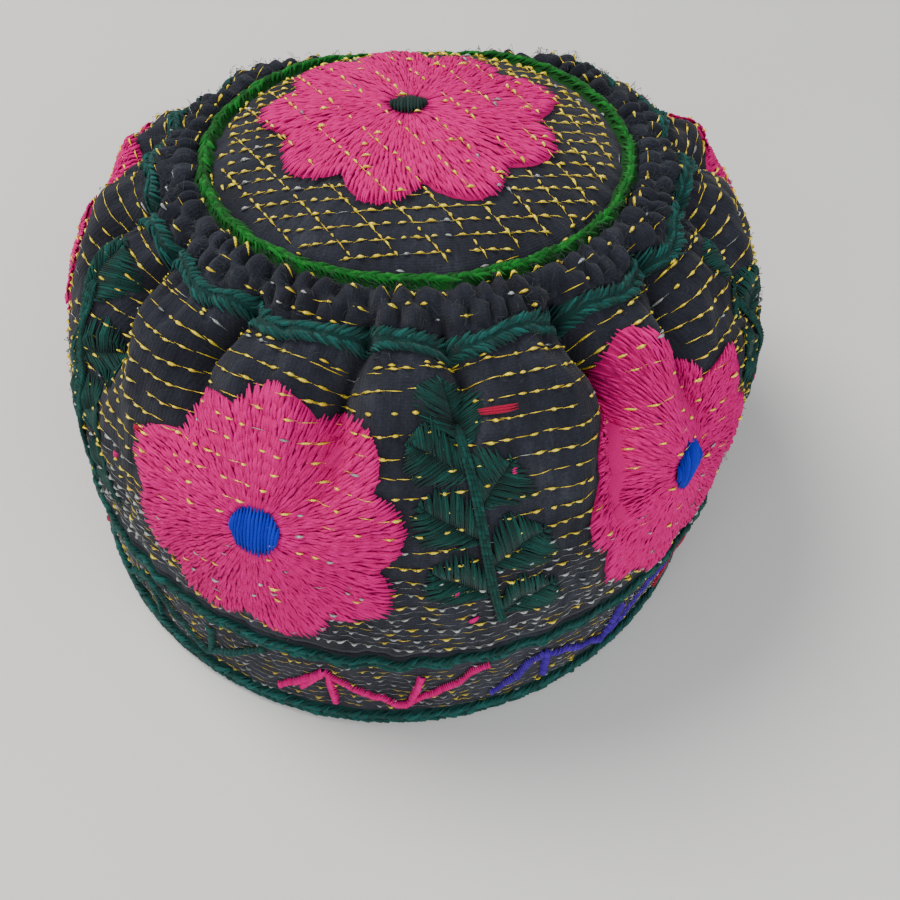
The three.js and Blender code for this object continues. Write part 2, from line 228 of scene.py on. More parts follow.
def on_cloth(bearing, arc, lift):
    """Points in metres, in the frame, for arrays of bearings, arcs and lifts."""
    given = (np.asarray(v, float) for v in (bearing, arc, lift))
    bearing, arc, lift = np.broadcast_arrays(*given)
    arc = np.clip(arc, 0, MIDDLE_ARC)
    radius, height = (np.interp(arc, ARCS, CURVE[:, i]) for i in (0, 1))
    out, up = (np.interp(arc, ARCS, TANGENTS[:, i]) for i in (0, 1))
    calm = smoothstep(arc, CROWN_ARC - 4, CROWN_ARC + 6) * CROWN_CALM_SHARE
    free = smoothstep(arc, 0, RIM_CALM) * (1 - calm)
    wrinkles = WRINKLE_HEIGHT * ripple(WRINKLES, bearing, arc)
    rumple = free * (wrinkles + CRUMPLE_HEIGHT * ripple(CRUMPLE, bearing, arc))
    rumple = rumple * smoothstep(MIDDLE_ARC - arc, *MIDDLE_CALM)
    depth = lift - fold_depth(bearing, arc) + pucker(bearing, arc) + rumple
    radius = np.maximum(0, radius + up * depth)
    height = np.where(arc <= 0, 0, height - out * depth)
    share = height / CROWN_HEIGHT
    lean = np.sin(np.minimum(1, share) * math.pi / 2)
    angle = np.radians(bearing)
    y = radius * np.sin(angle) * (1 + lerp(RIM_STRETCH, CROWN_STRETCH, share))
    x = radius * np.cos(angle) + LEAN_SIDE * lean
    droop = BACK_DROOP * smoothstep(y / GATHER_RADIUS, BACK_DROOP_SHARE, 1)
    height = height - share * (BACK_DIP * y + droop)
    return (np.stack([x, y + LEAN_BACK * lean, height], -1) + AXIS) * MM


def normals_at(bearing, arc, lift):
    """Which way is off the cloth there."""
    step = on_cloth(bearing, arc, np.asarray(lift) + 1.0) - on_cloth(bearing, arc, lift)
    return step / np.maximum(np.linalg.norm(step, axis=-1, keepdims=True), 1e-12)


# Meshes

def add_mesh(name, points, quads, material, tint=None, cloth_plan=None):
    """One piece of the hat, with what its material reads from its points."""
    mesh = bpy.data.meshes.new(name)
    quads = np.asarray(quads, np.int32).reshape(-1, 4)
    mesh.vertices.add(len(points))
    mesh.vertices.foreach_set("co", np.asarray(points, np.float32).ravel())
    mesh.loops.add(quads.size)
    mesh.loops.foreach_set("vertex_index", quads.ravel())
    mesh.polygons.add(len(quads))
    mesh.polygons.foreach_set("loop_start", np.arange(0, quads.size, 4, dtype=np.int32))
    mesh.update(calc_edges=True)
    mesh.polygons.foreach_set("use_smooth", np.ones(len(quads), bool))
    if tint is not None:
        attribute = mesh.attributes.new("tint", "FLOAT", "POINT")
        attribute.data.foreach_set("value", np.asarray(tint, np.float32).ravel())
    if cloth_plan is not None:
        attribute = mesh.attributes.new("plan", "FLOAT_VECTOR", "POINT")
        attribute.data.foreach_set("vector", np.asarray(cloth_plan, np.float32).ravel())
    mesh.materials.append(material)
    piece = bpy.data.objects.new(name, mesh)
    bpy.context.scene.collection.objects.link(piece)
    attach(piece, "root")
    return piece


def grid_quads(rows, columns, start=0):
    """Faces of a grid of points, row after row."""
    index = np.arange(rows * columns).reshape(rows, columns) + start
    corners = (index[:-1, :-1], index[:-1, 1:], index[1:, 1:], index[1:, :-1])
    return np.stack(corners, -1).reshape(-1, 4)


# Where round the hat the columns of the cloth's grids start
SEAM_BEARING = 90


def cloth_grid(name, low, high, wall, grid):
    """A wall of cloth: up its outer face and back down its inner one, closed at both edges."""
    outer_rows, columns, inner_rows = grid
    arcs = np.linspace(low, high, outer_rows)
    inner = np.linspace(arcs[-1], arcs[0], inner_rows)
    rows = np.concatenate([arcs, inner])
    lifts = np.concatenate([np.zeros(len(arcs)), np.full(len(inner), -wall)])
    bearings = SEAM_BEARING + np.arange(columns) * 360 / columns
    points = on_cloth(bearings[None, :], rows[:, None], lifts[:, None])
    plan = np.zeros(points.shape)
    plan[..., 0] = np.radians(bearings)[None, :] * GATHER_RADIUS * MM
    plan[..., 1] = rows[:, None] * MM
    index = np.arange(len(rows) * columns).reshape(len(rows), columns)
    beside, above = np.roll(index, -1, axis=1), np.roll(index, -1, axis=0)
    quads = np.stack([index, beside, np.roll(above, -1, axis=1), above], -1)
    plan = plan.reshape(-1, 3)
    return add_mesh(name, points.reshape(-1, 3), quads, CLOTH, cloth_plan=plan)


def around_spot(across, up):
    """The plan of what runs round the hat: a bearing and an arc."""
    return across, up


def side_spot(bearing, arc):
    """The plan of a motif on the side, in mm across and up from its middle."""
    radius = np.interp(arc, ARCS, CURVE[:, 0])
    return lambda across, up: (bearing + np.degrees(across / radius), arc + up)


def crown_spot(across, up):
    """The crown's plan, in mm from its middle."""
    return np.degrees(np.arctan2(up, across)), MIDDLE_ARC - np.hypot(across, up)


class Stitches:
    """Gathers tube-shaped stitches, and makes one mesh of them."""

    # The thickness of a stitch from end to end, as shares, and the corners of its cross-section
    PROFILE = np.array([0.3, 0.85, 1.0, 0.85, 0.3])
    CORNERS = 4

    def __init__(self):
        self.points, self.quads, self.tints, self.count = [], [], [], 0

    def add_strands(self, points, normals, width, height, tint):
        """points and normals are (strands, steps, 3) in metres, widths are in mm."""
        strands, steps, _ = points.shape
        along = np.gradient(points, axis=1)
        aside = np.cross(along, normals)
        aside /= np.maximum(np.linalg.norm(aside, axis=-1, keepdims=True), 1e-12)
        places = np.arange(len(self.PROFILE))
        profile = np.interp(np.linspace(0, places[-1], steps), places, self.PROFILE)[None, :, None]
        wide = aside * profile * (np.broadcast_to(width, strands)[:, None, None] * MM)
        high = normals * profile * (np.broadcast_to(height, strands)[:, None, None] * MM)
        rings = np.stack([points + wide, points + high, points - wide, points - high], 2)
        count = strands * steps * self.CORNERS
        index = np.arange(count).reshape(strands, steps, self.CORNERS) + self.count
        after = np.roll(index, -1, axis=2)
        walls = np.stack([index[:, :-1], index[:, 1:], after[:, 1:], after[:, :-1]], -1)
        caps = np.concatenate([index[:, 0], index[:, -1, ::-1]])
        self.points.append(rings.reshape(-1, 3))
        self.quads += [walls.reshape(-1, 4), caps]
        self.tints.append(np.repeat(np.broadcast_to(tint, strands), steps * self.CORNERS))
        self.count += count

    def sew(self, spot, start, end, lift, bow, width, tint, height=None, steps=3):
        """Straight stitches between plan points, (n, 2) each, that bow up off the cloth."""
        t = np.linspace(0, 1, steps)[None, :]
        across = lerp(start[:, :1], end[:, :1], t)
        up = lerp(start[:, 1:], end[:, 1:], t)
        bearing, arc = spot(across, up)
        rise = np.reshape(lift, (-1, 1)) + np.reshape(bow, (-1, 1)) * np.sin(t * math.pi) ** 0.7
        points = on_cloth(bearing, arc, rise)
        self.add_strands(points, normals_at(bearing, arc, rise), width, height or width, tint)

    def add_grid(self, points, tint=0.35):
        """A sheet of points, (rows, columns, 3), under the stitches, by default tinted darker than
        them as painted shade.
        """
        rows, columns, _ = points.shape
        self.quads.append(grid_quads(rows, columns, self.count))
        self.points.append(points.reshape(-1, 3))
        self.tints.append(np.full(rows * columns, tint))
        self.count += rows * columns

    def piece(self, name, material, slot_name, *nodes):
        """Makes the mesh, which takes the place of the named solids if there are any."""
        points, quads = np.concatenate(self.points), np.concatenate(self.quads)
        made = add_mesh(name, points, quads, material, np.concatenate(self.tints))
        if nodes:
            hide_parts(*nodes)


# Materials

class Nodes:
    """A short way to write a material's nodes."""

    def __init__(self, name, roughness, metallic=0.0, sheen=0.0, specular=0.5):
        self.material = bpy.data.materials.new(name)
        self.material.use_nodes = True
        self.tree = self.material.node_tree
        self.shader = self.tree.nodes["Principled BSDF"]
        self.shader.inputs["Roughness"].default_value = roughness
        self.shader.inputs["Metallic"].default_value = metallic
        self.shader.inputs["Sheen Weight"].default_value = sheen
        self.shader.inputs["Sheen Roughness"].default_value = 0.5
        self.shader.inputs["Specular IOR Level"].default_value = specular

    def link(self, source, target):
        self.tree.links.new(source, target)

    def attribute(self, name, output):
        node = self.tree.nodes.new("ShaderNodeAttribute")
        node.attribute_name = name
        return node.outputs[output]

    def place(self):
        return self.tree.nodes.new("ShaderNodeTexCoord").outputs["Object"]

    def noise(self, scale, detail, vector=None, stretch=None):
        node = self.tree.nodes.new("ShaderNodeTexNoise")
        node.inputs["Scale"].default_value = scale
        node.inputs["Detail"].default_value = detail
        vector = vector or self.place()
        if stretch:
            mapping = self.tree.nodes.new("ShaderNodeMapping")
            mapping.inputs["Scale"].default_value = stretch
            self.link(vector, mapping.inputs["Vector"])
            vector = mapping.outputs["Vector"]
        self.link(vector, node.inputs["Vector"])
        return node.outputs["Fac"]

    def bands(self, direction, scale, vector):
        """Threads that run one way in a weave, a little uneven."""
        node = self.tree.nodes.new("ShaderNodeTexWave")
        node.bands_direction = direction
        node.inputs["Scale"].default_value = scale
        node.inputs["Distortion"].default_value = 0.6
        node.inputs["Detail Scale"].default_value = 2.0
        self.link(vector, node.inputs["Vector"])
        return node.outputs["Fac"]

    def math(self, kind, a, b):
        node = self.tree.nodes.new("ShaderNodeMath")
        node.operation = kind
        for socket, value in zip(node.inputs, (a, b)):
            if isinstance(value, (int, float)):
                socket.default_value = value
            else:
                self.link(value, socket)
        return node.outputs[0]

    def ramp(self, fac, *stops):
        """Colours at their places along the factor."""
        node = self.tree.nodes.new("ShaderNodeValToRGB")
        elements = node.color_ramp.elements
        while len(elements) < len(stops):
            elements.new(0.5)
        for element, (at, colour) in zip(elements, stops):
            element.position = at
            element.color = (*colour, 1)
        self.link(fac, node.inputs["Fac"])
        return node.outputs["Color"]

    def bump(self, height, strength, distance):
        node = self.tree.nodes.new("ShaderNodeBump")
        node.inputs["Strength"].default_value = strength
        node.inputs["Distance"].default_value = distance
        self.link(height, node.inputs["Height"])
        self.link(node.outputs["Normal"], self.shader.inputs["Normal"])

    def colour(self, source):
        self.link(source, self.shader.inputs["Base Color"])


def cloth_material():
    """Charcoal cotton with a slight blue cast, linty, in a weave too fine to stand out."""
    n = Nodes("hat_cloth", 0.95, sheen=0.08, specular=0.12)
    plan = n.attribute("plan", "Vector")
    weave = n.math("ADD", n.bands("X", 430, plan), n.bands("Y", 430, plan))
    slub, mottle, lint = n.noise(700, 3, plan, (1, 0.2, 1)), n.noise(60, 6), n.noise(1500, 5)
    shade = n.math("ADD", n.math("MULTIPLY", slub, 0.25), n.math("MULTIPLY", mottle, 0.55))
    shade = n.math("ADD", shade, n.math("MULTIPLY", lint, 0.25))
    dark, mid, pale = (0.006, 0.0065, 0.01), (0.019, 0.021, 0.03), (0.056, 0.061, 0.08)
    n.colour(n.ramp(shade, (0.3, dark), (0.56, mid), (0.85, pale)))
    height = n.math("ADD", n.math("MULTIPLY", weave, 0.25), n.math("MULTIPLY", lint, 1.0))
    n.bump(n.math("ADD", height, slub), 0.55, 0.0004)
    return n.material


def wool_material(name, dark, mid, pale, sheen):
    """Soft twisted yarn: its shade changes from strand to strand, with fine fibres along it."""
    n = Nodes(name, 0.85, sheen=sheen, specular=0.25)
    tint = n.attribute("tint", "Fac")
    fibres, patches = n.noise(2600, 4), n.noise(70, 4)
    shade = n.math("ADD", n.math("MULTIPLY", tint, 0.5), n.math("MULTIPLY", fibres, 0.3))
    shade = n.math("ADD", shade, n.math("MULTIPLY", patches, 0.25))
    n.colour(n.ramp(shade, (0.12, dark), (0.5, mid), (0.9, pale)))
    n.bump(fibres, 0.6, 0.0003)
    return n.material


def metal_material(name, dark, pale):
    """Thin foil wound on a thread, which glints where its turns catch the light."""
    n = Nodes(name, 0.3, metallic=0.35)
    turns, tint = n.noise(1900, 2), n.attribute("tint", "Fac")
    shade = n.math("ADD", n.math("MULTIPLY", tint, 0.6), n.math("MULTIPLY", turns, 0.4))
    n.colour(n.ramp(shade, (0.2, dark), (0.8, pale)))
    n.bump(turns, 0.9, 0.0004)
    return n.material


def floor_material():
    n = Nodes("pale_floor", 0.75, specular=0.3)
    n.colour(n.ramp(n.noise(3, 3), (0.3, (0.68, 0.67, 0.65)), (0.7, (0.74, 0.73, 0.71))))
    n.bump(n.noise(160, 4), 0.1, 0.0004)
    return n.material


CLOTH = cloth_material()
PINK = wool_material(
    "pink_wool", (0.36, 0.0, 0.08), (0.6, 0.0, 0.16), (0.78, 0.0, 0.25), 0.0,
)
BLUE = wool_material(
    "blue_wool", (0.002, 0.006, 0.18), (0.004, 0.018, 0.44), (0.015, 0.05, 0.65), 0.0,
)
TEAL = wool_material(
    "teal_wool", (0.0, 0.01, 0.009), (0.001, 0.045, 0.038), (0.006, 0.115, 0.1), 0.08,
)
GREEN = wool_material(
    "green_wool", (0.0, 0.02, 0.001), (0.001, 0.085, 0.006), (0.01, 0.22, 0.02), 0.05,
)
LEAF = wool_material(
    "leaf_wool", (0.0, 0.008, 0.007), (0.001, 0.033, 0.026), (0.004, 0.085, 0.068), 0.05,
)
PURPLE = wool_material(
    "purple_wool", (0.015, 0.001, 0.1), (0.045, 0.006, 0.28), (0.1, 0.03, 0.48), 0.05,
)
RED = wool_material(
    "red_wool", (0.1, 0.0, 0.01), (0.32, 0.0, 0.03), (0.55, 0.008, 0.08), 0.05,
)
EYE_GREEN = wool_material(
    "eye_wool", (0.001, 0.007, 0.006), (0.003, 0.018, 0.015), (0.012, 0.05, 0.04), 0.05,
)
GOLD = metal_material("gold_thread", (0.85, 0.55, 0.015), (1.0, 0.82, 0.07))
SILVER = metal_material("silver_thread", (0.12, 0.13, 0.13), (0.52, 0.54, 0.52))
FUZZ = wool_material(
    "cloth_fuzz", (0.004, 0.007, 0.008), (0.014, 0.02, 0.023), (0.05, 0.06, 0.065), 0.1,
)


# The cloth itself

# The rows of each outer face, the columns round the hat and the rows of each inner face
BAND_GRID, SIDE_GRID = (26, 420, 8), (80, 680, 14)
GATHERS_GRID, CROWN_GRID = (30, 900, 8), (34, 300, 14)
# How near the crown's cloth comes to its own middle, in mm: the crown's flower covers the rest
MIDDLE_GAP = 0.3


def make_cloth():
    seam = SEAM_GAP / 2
    top = MIDDLE_ARC - MIDDLE_GAP
    gathers_ends = GATHER_ARC + seam, CROWN_ARC - seam
    band = cloth_grid("cloth_band", 0, BAND_ARC - seam, BAND_WALL, BAND_GRID)
    side = cloth_grid("cloth_side", BAND_ARC + seam, GATHER_ARC - seam, CLOTH_WALL, SIDE_GRID)
    gathers = cloth_grid("cloth_gathers", *gathers_ends, CLOTH_WALL, GATHERS_GRID)
    crown = cloth_grid("cloth_crown", CROWN_ARC + seam, top, CLOTH_WALL, CROWN_GRID)
    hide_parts("hat_band")
    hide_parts("side_panel")
    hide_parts("gathered_yoke")
    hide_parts("crown")


# Braids

# How far a stitch of a plait runs round the hat, and how thick it is, as shares of its pitch
BRAID_RUN, BRAID_YARN = 3.6, 0.56
# The core under a plait: its section's places across and their lifts, as shares of width and height
CORE_ACROSS = np.array([-0.5, -0.4, -0.2, 0, 0.2, 0.4, 0.5])[:, None]
CORE_LIFTS = np.array([-0.6, 0.55, 0.85, 0.8, 0.85, 0.55, -0.6])[:, None]


def make_braid(name, node, arc, width, height, pitch, wool, sag=0.0):
    """A plait: two rows of slanting yarn that meet along its middle, over a rounded core."""

    def swag(bearing):
        return sag * ripple(SWAGS, bearing, 0)

    radius = np.interp(arc, ARCS, CURVE[:, 0])
    count = int(2 * math.pi * radius / pitch)
    step = 360 / count
    stitches = Stitches()
    bearings = np.linspace(0, 360, 361)[None, :]
    offsets = CORE_ACROSS * width * 0.94
    core = on_cloth(bearings, arc + swag(bearings) + offsets, CORE_LIFTS * height)
    # The core takes the wool's darkest tint: painted shade in the gaps between the plait's
    # stitches.
    stitches.add_grid(core, 0.1)
    for side in (-1, 1):
        bearing = (np.arange(count) + 0.25 * side) * step + rng.normal(0, 0.12 * step, count)
        slant = (BRAID_RUN + rng.normal(0, 0.8, count)) * pitch / radius
        level = arc + swag(bearing)
        start = np.stack([bearing - np.degrees(slant / 2), level + side * width * 0.04], 1)
        edge = level + side * width * (0.44 + rng.normal(0, 0.06, count))
        end = np.stack([bearing + np.degrees(slant / 2), edge], 1)
        lift = height * (0.42 + rng.normal(0, 0.06, count))
        tint = np.clip(rng.normal(0.55, 0.24, count), 0, 1)
        thickness = pitch * BRAID_YARN * rng.uniform(0.8, 1.25, count)
        stitches.sew(around_spot, start, end, lift, height * 0.55, thickness, tint, steps=4)
    stitches.piece(name, *wool, node)


def make_braids():
    hem_arc = HEM_LIFT + HEM_WIDTH / 2
    band_arc = BAND_ARC - SEAM_GAP / 2 - BAND_BRAID_WIDTH / 2
    teal, green = (TEAL, "teal_braid"), (GREEN, "green_braid")
    make_braid("plait_hem", "hem_braid", hem_arc, HEM_WIDTH * 0.86, 1.6, 1.2, teal)
    make_braid("plait_band", "band_braid", band_arc, BAND_BRAID_WIDTH * 0.6, 1.3, 1.2, teal)
    make_braid("plait_yoke", "yoke_braid", GATHER_ARC, YOKE_BRAID_WIDTH, 1.5, 0.9, teal, 1.3)
    make_braid("plait_crown", "crown_braid", CROWN_ARC, CROWN_BRAID_WIDTH, 2.6, 1.1, green, 0.3)


# Flowers

# Each side flower's width as a share of its height, the turn of its first petal, and the lengths
# of its first petals as shares of the rest
FLOWER_WIDTHS = [1.02, 0.82, 1.0, 0.95, 1.0]
FLOWER_TURNS = [0.12, 0.45, 0.3, 0.6, 0.2]
FIRST_PETALS = [(1, 1, 0.95), (0.96, 0.68, 1.18), (1, 1.04, 1), (0.97, 1, 1), (1, 1, 1.03)]
# A petal's sway and roundness, the rounds of stitches on a flower, how long a stitch is as a share
# of the way out, and in mm how far apart the stitches are, how thick, how high and how far off
PETAL_SWAY, PETAL_ROUNDNESS = 0.06, 1.7
PETAL_ROUNDS, PETAL_STITCH_SHARE = 9, 0.17
PETAL_SPACING, PETAL_YARN, PETAL_YARN_HEIGHT, PETAL_LIFT = 0.62, 0.5, 0.34, 1.15
# The plate under a flower's stitches, from its middle out: shares of the way, and lifts in mm
PLATE_SHARES = np.array([0, 0.2, 0.4, 0.6, 0.8, 0.95, 0.985, 0.985])[:, None]
PLATE_LIFTS = np.array([1, 1, 1, 1, 1, 0.9, 0.5, -0.5])[:, None]


class Flower:
    """A star of uneven petals on a plan. Its lower half is drawn out by the hang, a share."""

    def __init__(self, plan, reach, eye, turn, wide, hang, first_petals=(1, 1, 1)):
        self.plan, self.eye, self.wide, self.hang = plan, eye, wide, hang
        jitter = rng.normal(0, PETAL_SWAY, PETALS)
        self.tips = turn + (np.arange(PETALS) + jitter) * 2 * math.pi / PETALS
        self.reach = reach * rng.uniform(0.93, 1.05, PETALS)
        self.reach[: len(first_petals)] *= first_petals
        shorter = np.minimum(self.reach, np.roll(self.reach, -1))
        self.notch = rng.uniform(0.8, 0.88, PETALS) * shorter

    def edge(self, angle):
        """How far out the petals reach at an angle."""
        turned = (np.asarray(angle) - self.tips[0]) % (2 * math.pi)
        tips = np.append((self.tips - self.tips[0]) % (2 * math.pi), 2 * math.pi)
        index = np.clip(np.searchsorted(tips, turned, "right") - 1, 0, PETALS - 1)
        share = (turned - tips[index]) / (tips[index + 1] - tips[index])
        tip = np.where(share < 0.5, self.reach[index], self.reach[(index + 1) % PETALS])
        rounded = 1 - (1 - np.abs(1 - 2 * share)) ** PETAL_ROUNDNESS
        return lerp(self.notch[index], tip, rounded)

    def spot(self, across, up):
        return self.plan(across * self.wide, np.where(up < 0, up * self.hang, up))

    def covers(self, across, up):
        across, up = across / self.wide, np.where(up < 0, up / self.hang, up)
        return np.hypot(across, up) < self.edge(np.arctan2(up, across))


def petal_stitches(flower, stitches):
    """Rounds of long stitches, each a little further out than the last, on a plate."""
    angle = np.linspace(0, 2 * math.pi, 181)[None, :]
    far = PLATE_SHARES * flower.edge(angle)
    plate = flower.spot(far * np.cos(angle), far * np.sin(angle))
    # The plate takes a darker tint than the stitches on it: painted shade between the strands.
    stitches.add_grid(on_cloth(*plate, PLATE_LIFTS), 0.3)
    for end in np.linspace(0.3, 1.01, PETAL_ROUNDS):
        near = end - PETAL_STITCH_SHARE
        middle = np.mean([near, end]) * np.mean(flower.reach)
        count = int(2 * math.pi * middle / PETAL_SPACING)
        theta = (np.arange(count) + rng.uniform(-0.3, 0.3, count)) * 2 * math.pi / count
        edge = flower.edge(theta)
        start = np.maximum(edge * (near + rng.normal(0, 0.025, count)), flower.eye * 0.85)
        stop = edge * (end + rng.normal(0, 0.009, count))
        skew = rng.normal(0.03, 0.014, count)
        first = np.stack([start * np.cos(theta), start * np.sin(theta)], 1)
        last = np.stack([stop * np.cos(theta + skew), stop * np.sin(theta + skew)], 1)
        tint = np.clip(rng.normal(0.55, 0.15, count), 0, 1)
        lift = PETAL_LIFT + rng.uniform(-0.08, 0.12, count)
        width = PETAL_YARN * rng.uniform(0.85, 1.2, count)
        stitches.sew(flower.spot, first, last, lift, 0.4, width, tint, height=PETAL_YARN_HEIGHT)


EYE_PITCH = 0.8


def eye_stitches(flower, stitches, stretch):
    """Satin stitches side by side across the eye, in two layers."""
    offsets = np.arange(-flower.eye + EYE_PITCH / 2, flower.eye, EYE_PITCH)
    half = np.sqrt(np.maximum(flower.eye**2 - offsets**2, 0)) * stretch
    for lift in (1.7, 1.25):
        jitter = rng.normal(0, 0.2, (2, len(offsets)))
        first = np.stack([offsets, -half + jitter[0]], 1)
        last = np.stack([offsets + 0.3, half + jitter[1]], 1)
        tint = np.clip(rng.normal(0.5, 0.22, len(offsets)), 0, 1)
        stitches.sew(flower.spot, first, last, lift, 0.7, 0.55, tint, steps=5)


def make_flower(suffix, flower, nodes, eye_material, eye_slot, stretch=1.1):
    petals, eye = Stitches(), Stitches()
    petal_stitches(flower, petals)
    petals.piece(f"wool_petals_{suffix}", PINK, "pink_wool", nodes[0])
    eye_stitches(flower, eye, stretch)
    eye.piece(f"wool_eye_{suffix}", eye_material, eye_slot, nodes[1])


ROOM = GATHER_ARC - YOKE_BRAID_WIDTH / 2 - BAND_ARC
FLOWER_ARC = BAND_ARC + ROOM / 2 - FLOWER_DROP
FLOWER_REACH = ROOM / 2 - FLOWER_MARGIN
SIDE_HANG, CROWN_HANG = 1.07, 1.12
SIDE_TABLE = zip(FLOWER_BEARINGS, FLOWER_WIDTHS, FLOWER_TURNS, FIRST_PETALS)
SIDE_BLOOMS = [
    Flower(side_spot(bearing, FLOWER_ARC), FLOWER_REACH, EYE_RADIUS, turn, wide, SIDE_HANG, first)
    for bearing, wide, turn, first in SIDE_TABLE
]
CROWN_REACH = CROWN_RADIUS - CROWN_BRAID_WIDTH / 2 - CROWN_FLOWER_MARGIN - CROWN_FLOWER_BACK
CROWN_BLOOM_AT = np.array([-2, CROWN_FLOWER_BACK + 1])
CROWN_BLOOM = Flower(
    lambda across, up: crown_spot(across + CROWN_BLOOM_AT[0], up + CROWN_BLOOM_AT[1]),
    CROWN_REACH, CROWN_EYE_RADIUS, 0.25, 1.0, CROWN_HANG,
)


def make_flowers():
    for i, flower in enumerate(SIDE_BLOOMS, 1):
        make_flower(i, flower, (f"flower_{i}", f"flower_eye_{i}"), BLUE, "blue_wool")
    nodes = ("crown_flower", "crown_flower_eye")
    make_flower("crown", CROWN_BLOOM, nodes, EYE_GREEN, "dark_green_wool", 0.9)


def wool_over(bearing, arc):
    """True where a side flower covers the cloth."""
    radius = np.interp(FLOWER_ARC, ARCS, CURVE[:, 0])
    over = np.zeros(np.shape(bearing), bool)
    for middle, flower in zip(FLOWER_BEARINGS, SIDE_BLOOMS):
        across = np.radians((bearing - middle + 180) % 360 - 180) * radius
        over |= flower.covers(across, arc - FLOWER_ARC)
    return over


# Leaf sprays and vines

# How far up its stem each pair of leaves stands, as a share, with its length in mm
LEAF_PAIRS = [(0.12, 15), (0.4, 16), (0.68, 14)]
TOP_LEAF_LENGTH, LEAF_SLANT, LEAF_WIDTH_SHARE, LEAF_PITCH = 17, 1.0, 0.55, 0.45
STEM_LENGTH, STEM_SWAY, STEM_BEND = 60.0, 2.2, 17
SPRAY_BEARINGS, SPRAY_RAISE, SPRAY_LEAN = [277, 341, 59, 127, 203], 3, -0.3


def leaf_stitches(stitches, spot, root, direction, length):
    """One leaf: slanting stitches out to both sides of its midrib."""
    along = np.arange(0.06, 1, LEAF_PITCH / length)
    heading = np.array([math.cos(direction), math.sin(direction)])
    aside = np.array([-heading[1], heading[0]])
    half = LEAF_WIDTH_SHARE * length * np.sin(math.pi * along**0.8) * 0.9 + 0.6
    for side in (-1, 1):
        jitter = rng.normal(0, 0.5, len(along))[:, None]
        first = root + heading * (along * length)[:, None]
        last = first + aside * (side * half)[:, None] + heading * (half * 0.55)[:, None] + jitter
        tint = np.clip(rng.normal(0.5, 0.25, len(along)), 0, 1)
        stitches.sew(spot, first, last, 0.45, 0.45, 0.4, tint, height=0.3)


def leaning_spot(bearing, arc):
    """A plan whose upright leans to the left, as seen from outside."""
    spot = side_spot(bearing, arc)
    return lambda across, up: spot(across + SPRAY_LEAN * up, up)


def stem(up):
    """How far aside a spray's stem is at a height, both from the spray's middle."""
    return STEM_SWAY * np.sin(up / STEM_BEND)


def make_sprays():
    stitches = Stitches()
    for bearing in SPRAY_BEARINGS:
        spot = leaning_spot(bearing, FLOWER_ARC + SPRAY_RAISE)
        heights = np.arange(-STEM_LENGTH / 2, STEM_LENGTH / 2 - 6, 1.2)
        sway = stem(heights)
        for shift in (-0.9, 0, 0.9):
            first = np.stack([sway + shift, heights], 1)
            last = np.stack([sway + shift * 0.5, heights + 3.2], 1)
            tint = np.clip(rng.normal(0.6, 0.2, len(heights)), 0, 1)
            stitches.sew(spot, first, last, 0.7, 0.6, 0.55, tint)
        for share, length in LEAF_PAIRS:
            for side in (-1, 1):
                up = (share - 0.5 + side * 0.06) * STEM_LENGTH
                root = np.array([stem(up), up])
                heading = math.pi / 2 + side * (LEAF_SLANT + rng.normal(0, 0.12))
                leaf_stitches(stitches, spot, root, heading, length * rng.uniform(0.9, 1.1))
        tip = STEM_LENGTH / 2 - 10
        root = np.array([stem(tip), tip])
        leaf_stitches(stitches, spot, root, math.pi / 2, TOP_LEAF_LENGTH)
    stitches.piece("leaf_sprays", LEAF, "dark_green_wool")


# The vine's branches in one repeat, from point to point: across as a share of the repeat, and up as
# a share of the band's room
VINE = [((0.0, 0.12), (0.22, 0.78)), ((0.22, 0.78), (0.64, 0.1)), ((0.64, 0.1), (1.0, 0.95)),
        ((0.25, 0.72), (0.29, 0.06)), ((0.66, 0.14), (0.69, 0.86)), ((0.22, 0.72), (0.12, 0.34))]
VINE_WIDTH, VINE_PITCH, VINE_SLANT = 2.5, 0.62, 0.45
VINE_REPEATS, FIRST_VINE, VINE_SHARE = 10, 247.0, 0.94
# The colour of each repeat: 0 is pink, 1 purple, 2 red and 3 green
VINE_COLOURS = [0, 1, 2, 3, 0, 1, 2, 0, 2, 3]
BAND_ROOM = (HEM_LIFT + HEM_WIDTH + 1.5, BAND_ARC - BAND_BRAID_WIDTH - 1.5)


def make_vines():
    """Zigzag branches round the band, in four colours that take turns."""
    low, high = BAND_ROOM
    degrees_per_mm = np.array([math.degrees(1 / BAND_TOP_RADIUS), 1])
    colours = [
        (PINK, "pink_wool"), (PURPLE, "purple_wool"), (RED, "red_wool"), (TEAL, "dark_green_wool"),
    ]
    groups = [Stitches() for _ in colours]
    step = 360 / VINE_REPEATS
    for repeat in range(VINE_REPEATS):
        stitches = groups[VINE_COLOURS[repeat]]
        for (x0, y0), (x1, y1) in VINE:
            a = np.array([FIRST_VINE + (repeat + x0 * VINE_SHARE) * step, lerp(low, high, y0)])
            b = np.array([FIRST_VINE + (repeat + x1 * VINE_SHARE) * step, lerp(low, high, y1)])
            run = (b - a) / degrees_per_mm
            count = max(3, int(np.hypot(*run) / VINE_PITCH))
            middle = lerp(a, b, np.linspace(0, 1, count)[:, None])
            heading = run / np.hypot(*run)
            across = np.array([-heading[1], heading[0]]) + VINE_SLANT * heading
            wide = (VINE_WIDTH / 2 * (1 + rng.normal(0, 0.1, count)))[:, None]
            half = across * wide * degrees_per_mm
            tint = np.clip(rng.normal(0.55, 0.2, count), 0, 1)
            ends = middle - half, middle + half
            stitches.sew(around_spot, *ends, 0.45, 0.85, 0.42, tint, steps=4)
    for stitches, (material, slot_name) in zip(groups, colours):
        stitches.piece(f"vine_{slot_name}", material, slot_name)


# Metal threads

# In mm, how far a thread lies off the cloth and off the flowers' cloth, and how thick a knot is
THREAD_LIFT, OVER_LIFT, KNOT_WIDTH = 0.3, 1.8, 0.36
# The shares of knots and of links between them that show over a flower
OVER_KNOTS, OVER_LINKS = 0.5, 0.35
